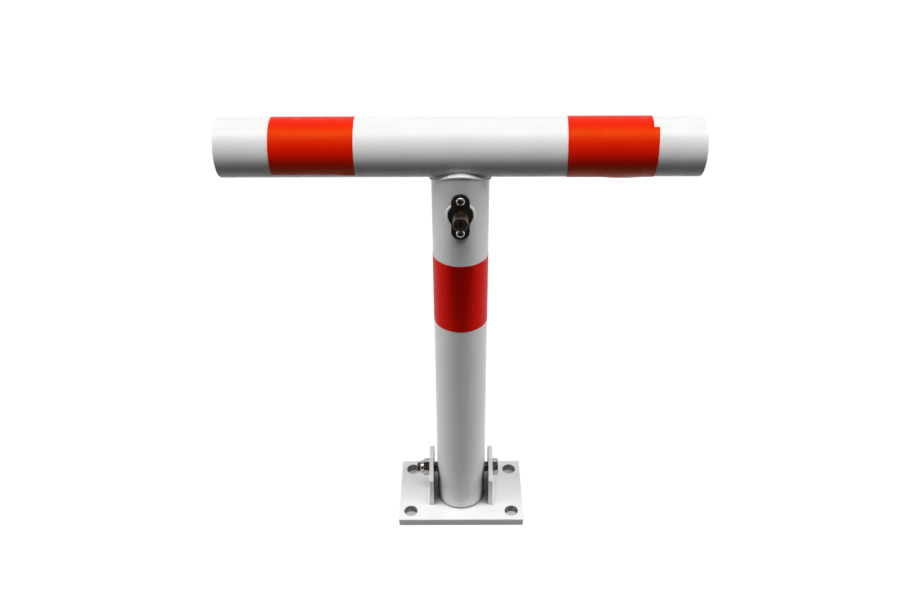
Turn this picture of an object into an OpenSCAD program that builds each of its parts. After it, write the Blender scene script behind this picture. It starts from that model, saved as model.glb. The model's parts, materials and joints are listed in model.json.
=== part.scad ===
// Fold-down parking barrier: a T-shaped steel post that hinges on a bolted base plate.
// Millimetres, +Z up, +X to the right. The lock faces -Y and the post folds back towards +Y.
// The origin is the centre of the base plate's underside.

/* [Base plate] */
// Width of the plate, left to right
plate_w = 150; // [140:1:220]
// Depth of the plate, front to back
plate_d = 100; // [90:1:160]
// Thickness of the plate
plate_t = 10; // [5:0.5:16]
// Radius of the plate's corners
plate_corner_r = 2; // [1:0.5:8]
// Diameter of the four anchor holes
anchor_d = 16; // [8:0.5:20]
// Distance between the anchor holes, left to right
anchor_x = 122; // [110:1:128]
// Distance between the anchor holes, front to back
anchor_y = 71; // [50:1:78]

/* [Ears] */
// Thickness of each hinge ear
ear_t = 5; // [3:0.5:8]
// Depth of each ear, front to back
ear_d = 60; // [50:1:80]
// Height of each ear above the plate
ear_h = 60; // [52:1:90]
// Size of the corners cut off the top of each ear
ear_chamfer = 20; // [4:1:24]
// Distance from the post's axis forward to the ears' front edges
ear_front = 22; // [15:1:30]
// Gap between the post and each ear
ear_gap = 4.5; // [2:0.5:10]
// Leg of the weld along the outer foot of each ear
ear_weld = 4; // [2:0.5:6]

/* [Post and crossbar] */
// Outer diameter of the tube that the post and the crossbar are cut from
tube_d = 57; // [56:0.5:63]
// Wall thickness of that tube
tube_wall = 3.5; // [2:0.25:4]
// Height of the whole barrier
height = 502.5; // [440:0.5:900]
// Length of the crossbar
bar_len = 460; // [380:1:900]
// Distance from the plate's centre forward to the post's axis
post_forward = 4; // [0:0.5:10]
// Gap between the lowered post and the plate
post_gap = 1; // [0.5:0.25:3]
// Thickness of the discs that close the crossbar
cap_t = 3; // [2:0.5:8]
// Distance from the crossbar's axis down to the trimmed edge of the post's saddle
saddle_trim = 13; // [10:0.5:16]
// Reach of the joint's weld along the post
weld_reach = 5; // [3:0.5:7]
// Height of the joint's weld off the post
weld_proud = 1.2; // [0.8:0.1:3]

/* [Reflective tapes] */
// Width of each tape
tape_w = 81; // [30:1:100]
// Thickness of each tape
tape_t = 0.4; // [0.2:0.1:1]
// Thickness of the glue under the tapes
glue_t = 0.05; // [0.02:0.01:0.1]
// Distance from each end of the crossbar to the outer edge of its tape
tape_margin = 49.5; // [5:0.5:55]
// Distance from the lock's axis down to the middle of the post's tape
post_tape_drop = 97.7; // [75:0.1:150]
// Angle that the left tape covers of the crossbar
left_wrap = 322; // [270:1:350]
// Angle of the left tape's lower front edge, below the front of the crossbar
left_wrap_edge = 39; // [10:1:80]

/* [Hinge] */
// Height of the hinge bolt above the plate
hinge_z = 35; // [30:0.5:38]
// Distance from the post's axis back to the hinge bolt
hinge_back = 8; // [5:0.5:9]
// Diameter of the hinge bolt
bolt_d = 12; // [8:0.5:12]
// Width across the flats of the bolt's head and the nut
hex_flats = 18; // [16:0.5:22]
// Thickness of the bolt's head
head_h = 7.5; // [4:0.5:12]
// Height of the nut's hexagon
nut_hex_h = 8; // [6:0.5:12]
// Height of the nut's round collar
nut_collar_h = 4; // [3:0.5:6]
// Length of bolt that stands out of the nut
bolt_tail = 3.5; // [1:0.5:10]
// Diameter of the eye that turns on the bolt
eye_d = 22; // [20:0.5:23]
// Length of the eye
eye_len = 30; // [20:1:30]
// Travel of the post when it is lifted to fold
lift = 24.4; // [20:0.1:24.4]

/* [Inner rod] */
// Width of the flat rod inside the post
rod_w = 30; // [20:1:30]
// Thickness of the rod
rod_t = 6; // [4:0.5:8]
// Length of the rod beyond the centre of its lock hole
rod_end = 15; // [10:0.5:18]
// Thickness of the plates that guide the rod
guide_t = 5; // [3:0.5:8]
// Height of the lower guide above the plate
lower_guide_z = 100; // [70:1:150]
// Distance from the lock's axis down to the upper guide
upper_guide_drop = 50; // [45:1:80]

/* [Lock] */
// Distance from the crossbar's axis down to the lock's axis
lock_drop = 60; // [60:0.5:80]
// Width of the lock's flange
flange_w = 18; // [17.5:0.5:24]
// Height of the flange
flange_h = 49; // [46:0.5:56]
// Thickness of the flange
flange_t = 2.5; // [1.5:0.1:4]
// Distance between the lock's screws
screw_pitch = 35; // [34:0.5:36]
// Diameter of the screws' threads
screw_d = 5; // [3:0.1:5]
// Diameter of the screws' heads
screw_head_d = 9; // [7:0.1:10]
// Height of the screws' heads
screw_head_h = 2.6; // [1.8:0.1:3]
// Diameter of the hole in the post around the lock
lock_hole_d = 27.6; // [25:0.1:28]
// Diameter of the lock's barrel
barrel_d = 24; // [22:0.5:24]
// Thickness of the barrel's rear wall
barrel_end = 3; // [2:0.5:4]
// Diameter of the push plunger
plunger_d = 15; // [14:0.1:16]
// Length of the released plunger that stands out of the flange
plunger_out = 14.5; // [13:0.5:14.5]
// Travel of the plunger when it is pushed in to lock
push_travel = 12; // [10:0.5:12]
// Diameter of the lock pin
pin_d = 9; // [6:0.1:9]
// Diameter of the key core
core_d = 10; // [8:0.1:10]
// Width of the keyway
keyway_w = 1.6; // [1:0.1:3]
// Height of the keyway
keyway_h = 7; // [4:0.1:7.5]
// Depth of the keyway
keyway_depth = 12; // [6:0.5:14]
// Diameter of the dowel that stops the plunger
dowel_d = 2.5; // [2:0.1:2.6]
// Diameter of the spring's wire
spring_wire_d = 0.9; // [0.5:0.1:1]
// Number of the spring's turns
spring_turns = 5; // [3:1:5]
// Length of the released spring
spring_len = 17.5; // [17.5:0.5:19]

/* [Clearances] */
// Radial clearance of the eye on the bolt and of the core in the plunger
running_gap = 0.05; // [0.02:0.01:0.1]
// Radial clearance of threads and of discs that are set into a tube
seat_gap = 0.05; // [0.02:0.01:0.1]
// Radial clearance of the plunger in its barrel
slide_gap = 0.15; // [0.1:0.05:0.3]
// Clearance of the rod in its guides
guide_gap = 0.3; // [0.2:0.05:0.5]
// Radial clearance of the lock pin in the rod
pin_gap = 0.5; // [0.3:0.05:0.8]
// Clearance of the bolt in the post's slots
slot_gap = 0.4; // [0.3:0.05:0.8]
// Radial clearance of the bolt in the ears
ear_hole_gap = 0.25; // [0.1:0.05:0.5]

/* [Hidden] */
$fn = 96;
tube_r = tube_d / 2;
bore_r = tube_r - tube_wall;
post_y = -post_forward;
post_bottom = plate_t + post_gap;
bar_z = height - tube_r;
post_top = bar_z - saddle_trim;
weld_rise = 3;

ear_inner = tube_r + ear_gap;
ear_outer = ear_inner + ear_t;
ear_y0 = post_y - ear_front;

bolt_r = bolt_d / 2;
bolt_y = post_y + hinge_back;
bolt_z = plate_t + hinge_z;
nut_h = nut_hex_h + nut_collar_h;
nut_bore_r = bolt_r + seat_gap;
hex_bevel = 1.2;
hex_face_inset = 0.3;
collar_inset = 0.5;
collar_taper = 0.7;
collar_r = hex_flats / 2 - collar_inset;
collar_tip_r = collar_r - collar_taper;
collar_wall = 1.1;
insert_r = collar_tip_r - collar_wall;
insert_h = 2.8;
insert_lip = 0.6;
thread_chamfer = 1;
eye_r = eye_d / 2;

lock_z = bar_z - lock_drop;
rod_y = bolt_y;
tape_start = bar_len / 2 - tape_margin - tape_w;
post_tape_z = lock_z - post_tape_drop;
rod_front = hinge_back - rod_t / 2;
rod_top = lock_z + rod_end;
rod_weld = 4;
rod_weld_root = 2;
rod_weld_inset = 1;
rod_chamfer = 3;
upper_guide_z = lock_z - upper_guide_drop;

flange_back = -tube_r;
flange_front = flange_back - flange_t;
barrel_r = barrel_d / 2;
barrel_clear = 4;
barrel_back = rod_front - barrel_clear;
bore_end = barrel_back - barrel_end;
plunger_r = plunger_d / 2;
plunger_front = flange_front - plunger_out;
plunger_back = bore_end - spring_len;
plunger_edge = 0.8;
pin_r = pin_d / 2;
pin_socket = 3;
pin_stand_off = 0.8;
pin_tip = rod_front - pin_stand_off;
pin_chamfer = 1.2;
core_r = core_d / 2;
latch_l = 3;
latch_gap = 0.1;
pocket_wall = 0.5;
latch_y = plunger_back - pin_socket - pocket_wall - latch_gap - latch_l / 2;
core_wall = 1.8;
core_back = latch_y - latch_l / 2 - core_wall;
core_rim = 0.4;
core_web = 0.95;
dowel_r = dowel_d / 2;
dowel_inset = 5;
dowel_y = plunger_back - dowel_inset;
dowel_z = -(core_r + core_web + dowel_r);
dowel_half = sqrt(barrel_r * barrel_r - dowel_z * dowel_z);
latch_w = 4;
latch_floor = 1.2;
latch_top = sqrt(pow(plunger_r, 2) - pow(latch_w / 2, 2)) - latch_gap;
wire_r = spring_wire_d / 2;
spring_mean_r = (pin_r + plunger_r + slide_gap) / 2;
spring_rings = 14;
screw_r = screw_d / 2;
screw_slot_w = 1;
screw_slot_l = 5.4;
screw_slot_depth = 1.6;
screw_reach = tube_wall + 2.5;
head_r = screw_head_d / 2;
head_face_r = head_r - 2.1;
head_bend_r = head_r - 0.9;
head_edge_r = head_r - 0.2;
head_bend = 0.45;
head_edge = 1.2;
over = 1;

// A round bar along X
module bar_x(r, x0, x1) {
    translate([x0, 0, 0]) rotate([0, 90, 0]) cylinder(r = r, h = x1 - x0);
}

// A round bar along Y
module bar_y(r, y0, y1) {
    translate([0, y0, 0]) rotate([-90, 0, 0]) cylinder(r = r, h = y1 - y0);
}

// A profile of radius against distance, turned about X
module turned_x() {
    rotate([0, 90, 0]) rotate_extrude() children();
}

// A profile of radius against distance, turned about Y
module turned_y() {
    rotate([-90, 0, 0]) rotate_extrude() children();
}

// A rectangle with round corners
module rounded_rect(w, d, r) {
    square([w - 2 * r, d], center = true);
    square([w, d - 2 * r], center = true);
    for (x = [-1, 1], y = [-1, 1])
        translate([x * (w / 2 - r), y * (d / 2 - r)]) circle(r);
}

// A hexagonal prism along +X from the origin, with its outer corners turned off
module hex_x(flats, h) {
    corner_r = flats / 2 / cos(30);
    intersection() {
        rotate([0, 90, 0]) cylinder(r = corner_r, h = h, $fn = 6);
        turned_x() polygon([[0, 0], [corner_r, 0], [corner_r, h - hex_bevel],
            [flats / 2 - hex_face_inset, h], [0, h]]);
    }
}

// Steel plate with four anchor holes
module base_plate() {
    color("gainsboro") linear_extrude(plate_t) difference() {
        rounded_rect(plate_w, plate_d, plate_corner_r);
        for (x = [-1, 1], y = [-1, 1])
            translate([x * anchor_x / 2, y * anchor_y / 2]) circle(d = anchor_d);
    }
}

// Outline of an ear, seen from the side
module ear_outline() {
    y1 = ear_y0 + ear_d;
    polygon([
        [ear_y0, 0], [ear_y0, ear_h - ear_chamfer], [ear_y0 + ear_chamfer, ear_h],
        [y1 - ear_chamfer, ear_h], [y1, ear_h - ear_chamfer], [y1, 0]
    ]);
}

// An ear whose inner face lies at x0, drilled for the hinge bolt
module ear(x0) {
    color("whitesmoke") difference() {
        translate([x0, 0, plate_t]) rotate([90, 0, 90]) linear_extrude(ear_t) ear_outline();
        translate([0, bolt_y, bolt_z]) bar_x(bolt_r + ear_hole_gap, x0 - over, x0 + ear_t + over);
    }
}

// A quarter-round weld along the outer foot of an ear
module ear_weld_bead() {
    color("gainsboro") translate([ear_outer, ear_y0 + ear_d, plate_t]) rotate([90, 0, 0])
        linear_extrude(ear_d) intersection() {
            circle(ear_weld);
            square(ear_weld);
        }
}

// Hexagon-head bolt through both ears, with its head on the right
module hinge_bolt() {
    tip = -ear_outer - nut_h - bolt_tail;
    color("dimgray") translate([0, bolt_y, bolt_z]) {
        translate([ear_outer, 0, 0]) hex_x(hex_flats, head_h);
        translate([tip, 0, 0]) turned_x() polygon([
            [0, 0], [bolt_r - thread_chamfer, 0], [bolt_r, thread_chamfer],
            [bolt_r, ear_outer - tip + over], [0, ear_outer - tip + over]
        ]);
    }
}

// Lock nut on the left, with a round collar that holds its insert
module hinge_nut() {
    color("rosybrown") translate([-ear_outer, bolt_y, bolt_z]) rotate([0, 0, 180]) difference() {
        union() {
            hex_x(hex_flats, nut_hex_h);
            turned_x() polygon([
                [0, over], [collar_r, over], [collar_r, nut_hex_h + over],
                [collar_tip_r, nut_h], [0, nut_h]
            ]);
        }
        bar_x(nut_bore_r, -over, nut_h + over);
        bar_x(insert_r, nut_h - insert_lip - insert_h, nut_h - insert_lip);
    }
}

// Nylon ring that grips the bolt's thread
module nut_insert() {
    x1 = -ear_outer - nut_h + insert_lip;
    color("lightsteelblue") translate([0, bolt_y, bolt_z]) difference() {
        bar_x(insert_r - seat_gap, x1 + seat_gap, x1 + insert_h - seat_gap);
        bar_x(nut_bore_r, x1 - over, x1 + insert_h + over);
    }
}

// Short tube that turns on the hinge bolt inside the post
module rod_eye() {
    color("slategray") translate([0, bolt_y, bolt_z]) difference() {
        bar_x(eye_r, -eye_len / 2, eye_len / 2);
        bar_x(bolt_r + running_gap, -eye_len, eye_len);
    }
}

// Flat rod that stands on the eye and carries the lock hole near its top
module lock_rod() {
    half = rod_w / 2;
    color("lightslategray") difference() {
        translate([0, rod_y + rod_t / 2, 0]) rotate([90, 0, 0]) linear_extrude(rod_t) polygon([
            [-half, bolt_z], [half, bolt_z], [half, rod_top - rod_chamfer],
            [half - rod_chamfer, rod_top], [rod_chamfer - half, rod_top], [-half, rod_top - rod_chamfer]
        ]);
        translate([0, bolt_y, bolt_z]) bar_x(eye_r, -rod_w, rod_w);
        translate([0, rod_y, lock_z]) bar_y(pin_r + pin_gap, -rod_t, rod_t);
    }
}

// Welds between the rod's two faces and the eye
module rod_welds() {
    half = eye_len / 2 - rod_weld_inset;
    foot = sqrt(pow(eye_r, 2) - pow(rod_t / 2, 2));
    color("slategray") translate([0, bolt_y, bolt_z]) for (side = [-1, 1]) difference() {
        translate([-half, 0, 0]) rotate([90, 0, 90]) linear_extrude(2 * half) polygon([
            [side * rod_t / 2, foot + rod_weld],
            [side * (rod_t / 2 + rod_weld), foot - rod_weld_root],
            [side * rod_t / 2, foot - rod_weld_root]
        ]);
        bar_x(eye_r, -eye_len, eye_len);
    }
}

// Upright tube, saddle-cut at the top, slotted for the bolt and cut out for the lock
module post_tube() {
    slot_half = bolt_r + slot_gap;
    color("lightgray") difference() {
        translate([0, post_y, post_bottom]) cylinder(r = tube_r, h = post_top - post_bottom);
        translate([0, post_y, 0]) cylinder(r = bore_r, h = height);
        translate([0, post_y, bar_z]) bar_x(tube_r, -tube_d, tube_d);
        translate([0, bolt_y, bolt_z]) {
            bar_x(slot_half, -tube_d, tube_d);
            translate([0, 0, -lift]) bar_x(slot_half, -tube_d, tube_d);
            translate([-tube_d, -slot_half, -lift]) cube([2 * tube_d, 2 * slot_half, lift]);
        }
        translate([0, post_y, lock_z]) {
            bar_y(lock_hole_d / 2, -tube_d, -bore_r / 2);
            for (side = [-1, 1]) translate([0, 0, side * screw_pitch / 2])
                bar_y(screw_r + seat_gap, -tube_d, -bore_r / 2);
        }
    }
}

// Horizontal tube across the top
module crossbar() {
    color("whitesmoke") translate([0, post_y, bar_z]) difference() {
        bar_x(tube_r, -bar_len / 2, bar_len / 2);
        bar_x(bore_r, -bar_len, bar_len);
    }
}

// A disc set into the bore of the crossbar from x0 to x0 + cap_t
module end_cap(x0) {
    color("whitesmoke") translate([0, post_y, bar_z]) bar_x(bore_r - seat_gap, x0, x0 + cap_t);
}

// Weld that fills the corner between the post and the crossbar all round
module junction_weld() {
    color("lightgray") translate([0, post_y, 0]) difference() {
        intersection() {
            translate([0, 0, post_top - tube_d])
                cylinder(r = tube_r + weld_proud, h = tube_d + weld_rise);
            translate([0, 0, bar_z]) bar_x(tube_r + weld_reach, -tube_d, tube_d);
        }
        translate([0, 0, bar_z]) bar_x(tube_r, -tube_d, tube_d);
        translate([0, 0, post_top - 2 * tube_d]) cylinder(r = tube_r, h = 2 * tube_d);
        cylinder(r = bore_r, h = height);
    }
}

// A plate set into the post at height z, with a slot that the rod runs in
module rod_guide(z) {
    color("slategray") difference() {
        translate([0, post_y, z]) cylinder(r = bore_r - seat_gap, h = guide_t);
        translate([0, rod_y, z + guide_t / 2])
            cube([rod_w + 2 * guide_gap, rod_t + 2 * guide_gap, 2 * guide_t], center = true);
    }
}

// An outline with straight sides and round ends
module obround(w, h) {
    square([w, h - w], center = true);
    for (side = [-1, 1]) translate([0, side * (h - w) / 2]) circle(d = w);
}

// Lock housing: a flange with round ends, screwed to the post, and the barrel behind it
module lock_body() {
    color([0.12, 0.10, 0.09]) translate([0, post_y, lock_z]) difference() {
        union() {
            translate([0, flange_back, 0]) rotate([90, 0, 0])
                linear_extrude(flange_t) obround(flange_w, flange_h);
            bar_y(barrel_r, flange_back, barrel_back);
        }
        bar_y(plunger_r + slide_gap, flange_front - over, bore_end);
        bar_y(pin_r + slide_gap, flange_front, barrel_back + over);
        for (side = [-1, 1])
            translate([0, 0, side * screw_pitch / 2]) bar_y(screw_r + seat_gap, -tube_d, 0);
        translate([0, dowel_y, dowel_z]) bar_x(dowel_r + seat_gap, -barrel_d, barrel_d);
    }
}

// Two pan-head screws with cross recesses
module lock_screws() {
    head_base = flange_front - seat_gap;
    color("silver") translate([0, post_y, lock_z]) for (side = [-1, 1]) {
        translate([0, 0, side * screw_pitch / 2]) difference() {
            union() {
                translate([0, head_base - screw_head_h, 0]) turned_y() polygon([
                    [0, 0], [head_face_r, 0], [head_bend_r, head_bend],
                    [head_edge_r, head_edge], [head_r, screw_head_h], [0, screw_head_h]
                ]);
                bar_y(screw_r, head_base - over, head_base + flange_t + screw_reach);
            }
            for (angle = [0, 90])
                translate([0, head_base - screw_head_h, 0]) rotate([0, angle, 0])
                    cube([screw_slot_l, 2 * screw_slot_depth, screw_slot_w], center = true);
        }
    }
}

// Dowel across the barrel that runs in the plunger's groove and stops it
module lock_dowel() {
    color("silver") translate([0, post_y + dowel_y, lock_z + dowel_z])
        bar_x(dowel_r, -dowel_half, dowel_half);
}

// A coil spring along +Y from the origin
module coil(mean_r, r, length, turns) {
    sides = 6;
    rings = turns * spring_rings;
    rise = length - 2 * r;
    points = [
        for (i = [0 : rings], k = [0 : sides - 1])
            let (a = 360 * turns * i / rings, b = 360 * k / sides, d = mean_r + r * cos(b))
                [d * cos(a), r + rise * i / rings + r * sin(b), d * sin(a)]
    ];
    skin = [
        for (i = [0 : rings - 1], k = [0 : sides - 1])
            let (j = (k + 1) % sides)
                [i * sides + k, i * sides + j, (i + 1) * sides + j, (i + 1) * sides + k]
    ];
    first = [for (k = [sides - 1 : -1 : 0]) k];
    last = [for (k = [0 : sides - 1]) rings * sides + k];
    polyhedron(points, concat(skin, [first, last]), convexity = 10);
}

// Spring that pushes the plunger out
module lock_spring() {
    color("silver") translate([0, post_y + plunger_back + seat_gap, lock_z])
        coil(spring_mean_r, wire_r, spring_len - 2 * seat_gap, spring_turns);
}

// Push plunger with the core's bore, the dowel's groove, the latch's pocket and the pin's socket
module lock_plunger() {
    groove_y0 = dowel_y - push_travel - dowel_r - slide_gap;
    groove_y1 = dowel_y + dowel_r + slide_gap;
    color([0.30, 0.22, 0.18]) translate([0, post_y, lock_z]) difference() {
        translate([0, plunger_front, 0]) turned_y() polygon([
            [0, 0], [plunger_r - plunger_edge, 0], [plunger_r, plunger_edge],
            [plunger_r, plunger_back - plunger_front], [0, plunger_back - plunger_front]
        ]);
        bar_y(core_r + running_gap, plunger_front - over, core_back + running_gap);
        bar_y(pin_r, plunger_back - pin_socket, plunger_back + over);
        translate([-plunger_d, groove_y0, dowel_z - plunger_d])
            cube([2 * plunger_d, groove_y1 - groove_y0, plunger_d + dowel_r + slide_gap]);
        translate([-latch_w / 2 - latch_gap, latch_y - latch_l / 2 - latch_gap, latch_floor])
            cube([latch_w + 2 * latch_gap, latch_l + 2 * latch_gap, plunger_d]);
    }
}

// Pin behind the plunger that enters the rod's hole
module lock_pin() {
    y0 = plunger_back - pin_socket;
    color("silver") translate([0, post_y + y0, lock_z]) turned_y() polygon([
        [0, 0], [pin_r, 0], [pin_r, pin_tip - y0 - pin_chamfer], [pin_r - pin_chamfer, pin_tip - y0],
        [0, pin_tip - y0]
    ]);
}

// Sprung latch that keeps the pushed plunger in
module lock_latch() {
    color("goldenrod") translate([-latch_w / 2, post_y + latch_y - latch_l / 2, lock_z + latch_floor])
        cube([latch_w, latch_l, latch_top - latch_floor]);
}

// Core that the key turns, with its keyway
module key_core() {
    length = core_back - plunger_front;
    color([0.20, 0.14, 0.11]) translate([0, post_y + plunger_front, lock_z]) difference() {
        turned_y() polygon([
            [0, 0], [core_r - core_rim, 0], [core_r, core_rim], [core_r, length], [0, length]
        ]);
        translate([0, keyway_depth / 2 - over, 0])
            cube([keyway_w, keyway_depth + 2 * over, keyway_h], center = true);
    }
}

// A tape from z = 0 to its width, around the tube's axis along Z
module tape_ring(angle) {
    rotate_extrude(angle = angle) translate([tube_r + glue_t, 0]) square([tape_t, tape_w]);
}

// Tape around the post
module post_tape() {
    color("firebrick") translate([0, post_y, post_tape_z - tape_w / 2]) tape_ring(360);
}

// Tape around the left of the crossbar, with its ends short of meeting below
module left_bar_tape() {
    color("red") translate([-tape_start, post_y, bar_z]) rotate([0, -90, 0])
        rotate([0, 0, 270 - left_wrap_edge]) tape_ring(left_wrap);
}

// Tape around the right of the crossbar
module right_bar_tape() {
    color("red") translate([tape_start, post_y, bar_z]) rotate([0, 90, 0]) tape_ring(360);
}

base_plate();
ear(-ear_outer);  // left_ear
ear(ear_inner);  // right_ear
mirror([1, 0, 0]) ear_weld_bead();  // left_ear_weld
ear_weld_bead();  // right_ear_weld
hinge_bolt();
hinge_nut();
nut_insert();
rod_eye();
lock_rod();
rod_welds();
post_tube();
crossbar();
end_cap(-bar_len / 2);  // left_end_cap
end_cap(bar_len / 2 - cap_t);  // right_end_cap
junction_weld();
rod_guide(plate_t + lower_guide_z);  // lower_guide
rod_guide(upper_guide_z);  // upper_guide
lock_body();
lock_screws();
lock_dowel();
lock_spring();
lock_plunger();
lock_pin();
lock_latch();
key_core();
post_tape();
left_bar_tape();
right_bar_tape();
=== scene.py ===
"""Studio scene of a fold-down parking barrier: a T-shaped steel post on a bolted base plate.

Metres, +Z up, +X to the right along the crossbar. The lock faces -Y.
"""

import json
import math

import bmesh
import bpy
import numpy as np
from mathutils import Matrix, Vector, noise

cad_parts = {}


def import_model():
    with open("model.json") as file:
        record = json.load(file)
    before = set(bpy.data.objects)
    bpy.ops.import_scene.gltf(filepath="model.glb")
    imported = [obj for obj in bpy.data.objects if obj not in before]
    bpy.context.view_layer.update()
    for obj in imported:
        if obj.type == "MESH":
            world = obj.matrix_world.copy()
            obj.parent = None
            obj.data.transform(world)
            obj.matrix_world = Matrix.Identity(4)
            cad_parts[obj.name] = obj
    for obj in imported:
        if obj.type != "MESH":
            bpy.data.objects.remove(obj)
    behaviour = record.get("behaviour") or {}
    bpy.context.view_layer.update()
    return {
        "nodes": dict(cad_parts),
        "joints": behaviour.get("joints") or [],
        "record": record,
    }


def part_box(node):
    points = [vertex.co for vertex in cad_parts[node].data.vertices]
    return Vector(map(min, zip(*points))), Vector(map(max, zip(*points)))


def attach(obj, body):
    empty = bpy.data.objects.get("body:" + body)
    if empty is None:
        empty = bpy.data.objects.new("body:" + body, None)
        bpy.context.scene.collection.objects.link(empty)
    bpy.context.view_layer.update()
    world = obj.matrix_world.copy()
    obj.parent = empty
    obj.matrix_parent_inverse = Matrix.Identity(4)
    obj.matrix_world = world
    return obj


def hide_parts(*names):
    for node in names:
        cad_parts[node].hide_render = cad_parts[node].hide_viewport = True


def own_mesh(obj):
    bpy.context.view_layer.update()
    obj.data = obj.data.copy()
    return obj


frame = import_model()


def middle(node):
    """Centre of a node's box at rest."""
    low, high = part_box(node)
    return (low + high) / 2


def travel(name):
    """How far a sliding joint goes, in metres."""
    return next(joint for joint in frame["joints"] if joint["name"] == name)["range_m"][1]


MM = 0.001

# Places and sizes come from the frame. What it doesn't give, such as an edge's radius, is set here.

# Tubes
POST_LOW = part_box("post_tube")[0]
BAR_LOW, BAR_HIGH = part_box("crossbar")
TUBE_R = (BAR_HIGH.z - BAR_LOW.z) / 2
BORE_R = (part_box("left_end_cap")[1].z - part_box("left_end_cap")[0].z) / 2
AXIS_Y = middle("crossbar").y
BAR_Z = middle("crossbar").z
SADDLE_LOW = BAR_Z - TUBE_R
SADDLE_RISE = 11.8 * MM
SADDLE_GAP = 1.2 * MM
TUBE_EDGE = 1.1 * MM
BAR_EDGE = 1.3 * MM

# Base plate and ears
PLATE_LOW, PLATE_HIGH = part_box("base_plate")
PLATE_CORNER = 2 * MM
PLATE_EDGE = 0.8 * MM
ANCHORS = frame["record"]["mounts"][0]["dims"]
EAR_CHAMFER = 20 * MM
EAR_EDGE = 0.5 * MM
EAR_CORNER = 1.5 * MM
EAR_HOLE_R = 6.25 * MM
WELD_ROOT = 0.3 * MM

# Hinge bolt and nut
HINGE = middle("rod_eye")
BOLT_R = 6 * MM
BOLT_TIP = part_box("hinge_bolt")[0].x
HEAD_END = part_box("hinge_bolt")[1].x
EAR_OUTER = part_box("right_ear")[1].x
NUT_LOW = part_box("hinge_nut")[0].x
THREAD_END = 9 * MM
THREAD_PITCH = 1.75 * MM
THREAD_DEPTH = 0.95 * MM
HEX_FLATS = 18 * MM
HEX_SLOPE = 0.58
NUT_HEX = 8 * MM
NUT_TURN = math.radians(10)
HEAD_TURN = math.radians(-10)
SLOT_HALF = 6.4 * MM
LIFT = travel("lift")

# Lock
LOCK = middle("key_core")
FLANGE_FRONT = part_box("lock_body")[0].y
LOCK_HOLE_R = 13.8 * MM
SCREW_HEAD_R = 4.5 * MM
SCREW_DOME = 2.6 * MM
SCREW_SHANK_R = 2.4 * MM
SCREW_SHANK = 7 * MM
SCREW_PITCH = 35 * MM
RECESS_REACH = 2.6 * MM
RECESS_HALF = 0.55 * MM
RECESS_DEPTH = 1.9 * MM

# Tapes, with angles in degrees
TAPE_GLUE = 0.03 * MM
TAPE_T = 0.19 * MM
TAPE_WAVE = 0.35 * MM
TAPE_OVERLAP = 12


def link(name, mesh):
    """A new object in the scene that shows a mesh."""
    made = bpy.data.objects.new(name, mesh)
    bpy.context.scene.collection.objects.link(made)
    return made


def from_bmesh(name, shape, place=Matrix.Identity(4)):
    """An object from a bmesh, with its normals outward and its mesh placed by a matrix."""
    bmesh.ops.remove_doubles(shape, verts=shape.verts, dist=1e-7)
    bmesh.ops.recalc_face_normals(shape, faces=shape.faces)
    mesh = bpy.data.meshes.new(name)
    shape.to_mesh(mesh)
    shape.free()
    mesh.transform(place)
    return link(name, mesh)


def bake(piece):
    """Applies a piece's modifiers to its mesh."""
    graph = bpy.context.evaluated_depsgraph_get()
    done = bpy.data.meshes.new_from_object(piece.evaluated_get(graph))
    piece.modifiers.clear()
    piece.data = done


def cut(piece, cutter):
    """Cuts one solid with another, which is then gone."""
    step = piece.modifiers.new("cut", "BOOLEAN")
    step.object = cutter
    step.operation = "DIFFERENCE"
    step.solver = "EXACT"
    bake(piece)
    bpy.data.objects.remove(cutter)


def smooth(piece, angle=32, weighted=False):
    """Smooth shading that breaks at sharp edges; weighted keeps large flat faces flat."""
    piece.data.shade_smooth()
    piece.data.set_sharp_from_angle(angle=math.radians(angle))
    if weighted:
        step = piece.modifiers.new("weighted", "WEIGHTED_NORMAL")
        step.keep_sharp = True
        bake(piece)
    return piece


def tube_normals(piece, centre, axis):
    """Gives the faces around a tube's axis the normals of the true cylinder."""
    mesh = piece.data
    normals = [Vector(n.vector) for n in mesh.corner_normals]
    for face in mesh.polygons:
        for corner in face.loop_indices:
            spot = mesh.vertices[mesh.loops[corner].vertex_index].co - centre
            radial = (spot - axis * spot.dot(axis)).normalized()
            side = face.normal.dot(radial)
            if abs(side) > 0.99:
                normals[corner] = radial if side > 0 else -radial
    mesh.normals_split_custom_set(normals)


def closed_grid(name, sections, ends_meet=True):
    """A closed solid from loops of points: each joins the next, and the last joins the first or is capped."""
    shape = bmesh.new()
    rings = [[shape.verts.new(p) for p in section] for section in sections]
    count = len(rings[0])
    pairs = list(zip(rings, rings[1:]))
    if ends_meet:
        pairs.append((rings[-1], rings[0]))
    for first, second in pairs:
        for i in range(count):
            j = (i + 1) % count
            shape.faces.new((first[i], first[j], second[j], second[i]))
    if not ends_meet:
        shape.faces.new(rings[0])
        shape.faces.new(rings[-1])
    return from_bmesh(name, shape)


def spin(name, section, place, steps=96):
    """A solid turned about its own Z: section(angle) gives a loop of (height, radius)."""
    shape = bmesh.new()
    rings = []
    for i in range(steps):
        angle = 2 * math.pi * i / steps
        c, s = math.cos(angle), math.sin(angle)
        rings.append([shape.verts.new((r * c, r * s, h)) for h, r in section(angle)])
    count = len(rings[0])
    for i, ring in enumerate(rings):
        after = rings[(i + 1) % steps]
        for k in range(count):
            m = (k + 1) % count
            if max((ring[k].co - after[k].co).length, (ring[m].co - after[m].co).length) > 1e-8:
                shape.faces.new((ring[k], ring[m], after[m], after[k]))
    return from_bmesh(name, shape, place)


def turned(name, profile, place, edge=0, steps=96):
    """A solid turned from a closed profile of (height, radius), with its corners off the axis rounded."""
    points = [Vector(p) for p in profile]
    if edge:
        points = fillet(points, [0 if p.y < 1e-6 else edge for p in points])
    return spin(name, lambda angle: points, place, steps)


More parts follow.
